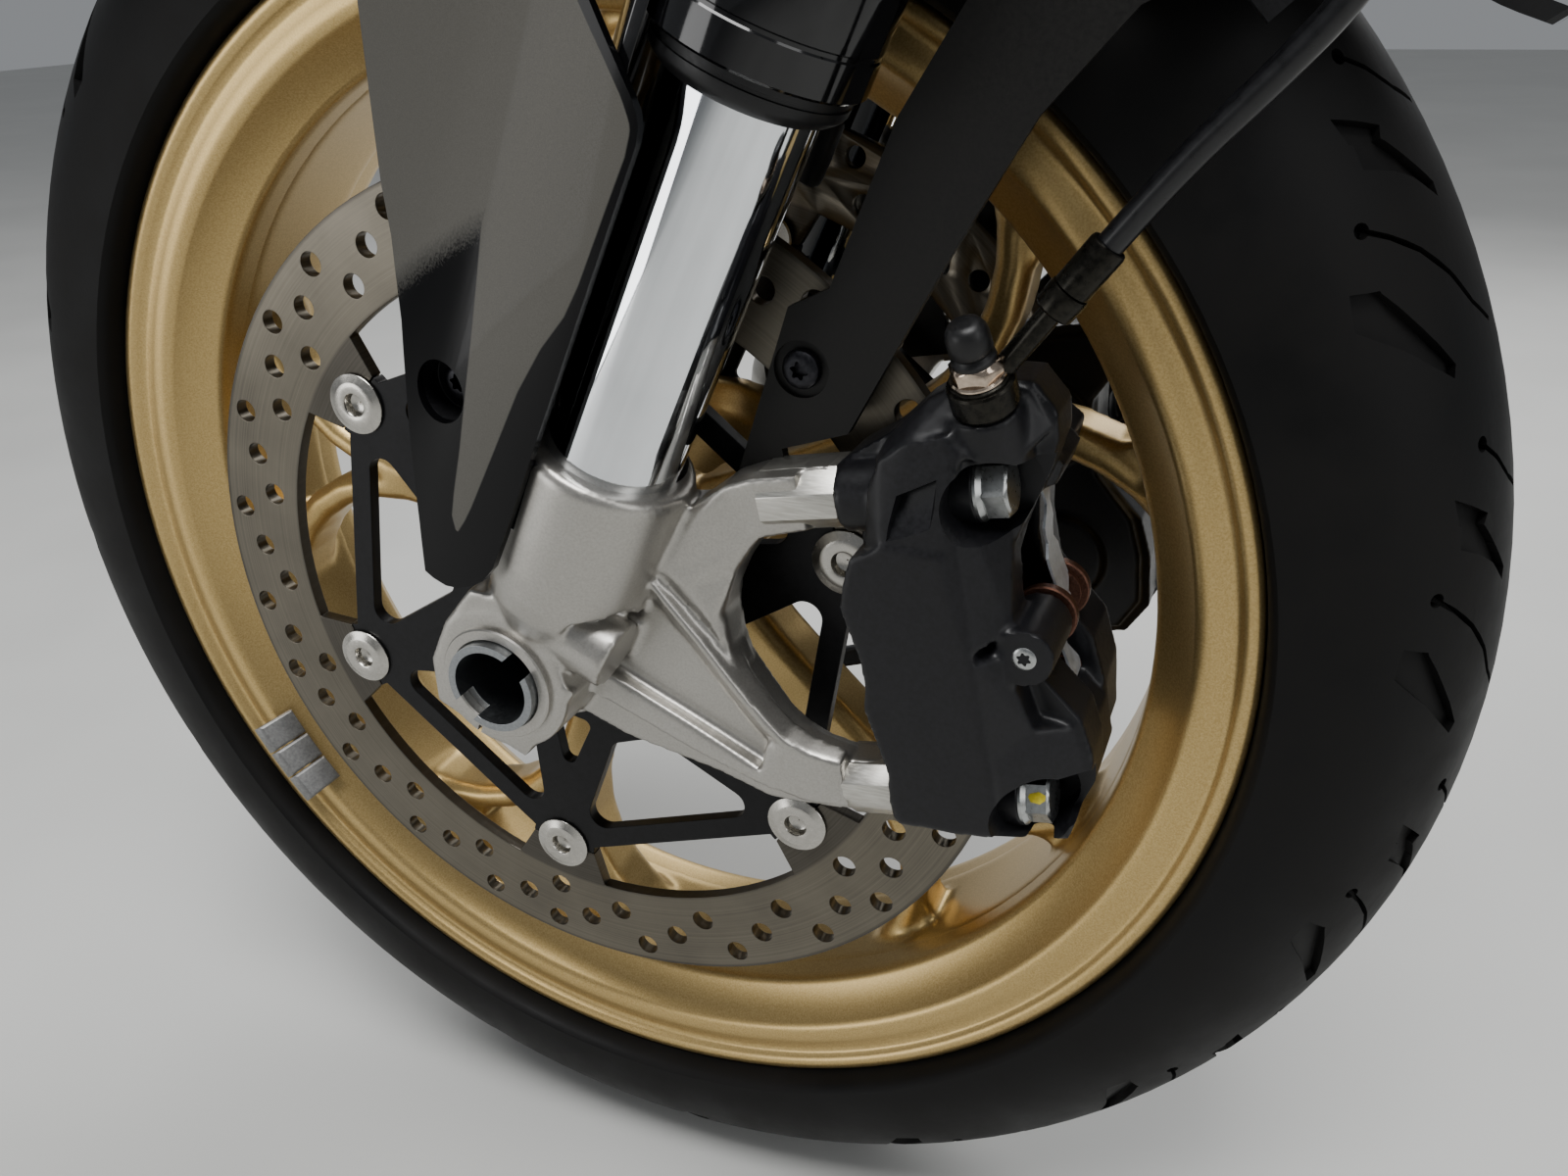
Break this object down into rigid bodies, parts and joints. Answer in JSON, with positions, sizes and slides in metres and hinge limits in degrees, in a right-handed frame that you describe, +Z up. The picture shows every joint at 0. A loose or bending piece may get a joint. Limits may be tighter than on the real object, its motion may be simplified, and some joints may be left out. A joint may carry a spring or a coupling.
{
  "type": "motorcycle front wheel and upside-down fork assembly",
  "caption": "Motorcycle front wheel in its upside-down fork, with floating discs, radial calipers, mudguard, fork guards and steering stem.",
  "frame": {"origin": "centre of the lower bearing seat on the steering stem", "axes": "+X to the rear, +Y to the rider's right, +Z up, with the stem leaning back 25 degrees"},
  "size_m": [0.6544, 0.282, 0.9923],
  "materials": {
    "tyre_rubber": "matt",
    "gold_paint": "satin metallic",
    "disc_steel": "ground",
    "black_anodised": "satin black anodised",
    "bobbin_alloy": "turned",
    "tube_chrome": "polished",
    "outer_tube_black": "gloss black anodised",
    "seal_rubber": "matt",
    "cast_alloy": "satin silver lacquer",
    "axle_steel": "turned",
    "caliper_black": "satin black",
    "bolt_zinc": "zinc plated",
    "pad_steel": "sintered",
    "hose_rubber": "smooth",
    "guard_paint": "satin metallic grey and gloss black",
    "black_plastic": "moulded",
    "gloss_black": "gloss"
  },
  "bodies": {
    "fork": {"axle_spacers": "axle_steel", "bleed_nipple_left": "seal_rubber", "bleed_nipple_right": "seal_rubber", "bottom_yoke": "black_anodised", "brake_hose_left": "hose_rubber", "brake_hose_right": "hose_rubber", "brake_pads_left": "pad_steel", "brake_pads_right": "pad_steel", "caliper_body_left": "caliper_black", "caliper_body_right": "caliper_black", "caliper_bolts_left": "bolt_zinc", "caliper_bolts_right": "bolt_zinc", "caliper_pistons_left": "bolt_zinc", "caliper_pistons_right": "bolt_zinc", "dust_seal_left": "seal_rubber", "dust_seal_right": "seal_rubber", "fork_cap_left": "black_anodised", "fork_cap_right": "black_anodised", "fork_foot_left": "cast_alloy", "fork_foot_right": "cast_alloy", "fork_guard_left": "guard_paint", "fork_guard_right": "guard_paint", "front_axle": "axle_steel", "hose_banjo_left": "bolt_zinc", "hose_banjo_right": "bolt_zinc", "hose_union": "black_anodised", "inner_tube_left": "tube_chrome", "inner_tube_right": "tube_chrome", "mudguard": "guard_paint", "mudguard_stay_left": "black_plastic", "mudguard_stay_right": "black_plastic", "outer_tube_left": "outer_tube_black", "outer_tube_right": "outer_tube_black", "pad_pin_left": "bolt_zinc", "pad_pin_right": "bolt_zinc", "steering_stem": "axle_steel", "tube_shield_left": "gloss_black", "tube_shield_right": "gloss_black"},
    "wheel": {"brake_disc_left": "disc_steel", "brake_disc_right": "disc_steel", "disc_bobbins_left": "bobbin_alloy", "disc_bobbins_right": "bobbin_alloy", "disc_carrier_left": "black_anodised", "disc_carrier_right": "black_anodised", "tyre": "tyre_rubber", "tyre_valve": "seal_rubber", "wheel_bearings": "axle_steel", "wheel_rim": "gold_paint"}
  },
  "joints": [
    {"name": "wheel_spin", "type": "hinge", "parent": "fork", "child": "wheel", "pos_m": [-0.27968, 0, -0.52168], "axis": [0, 1, 0], "continuous": true}
  ]
}
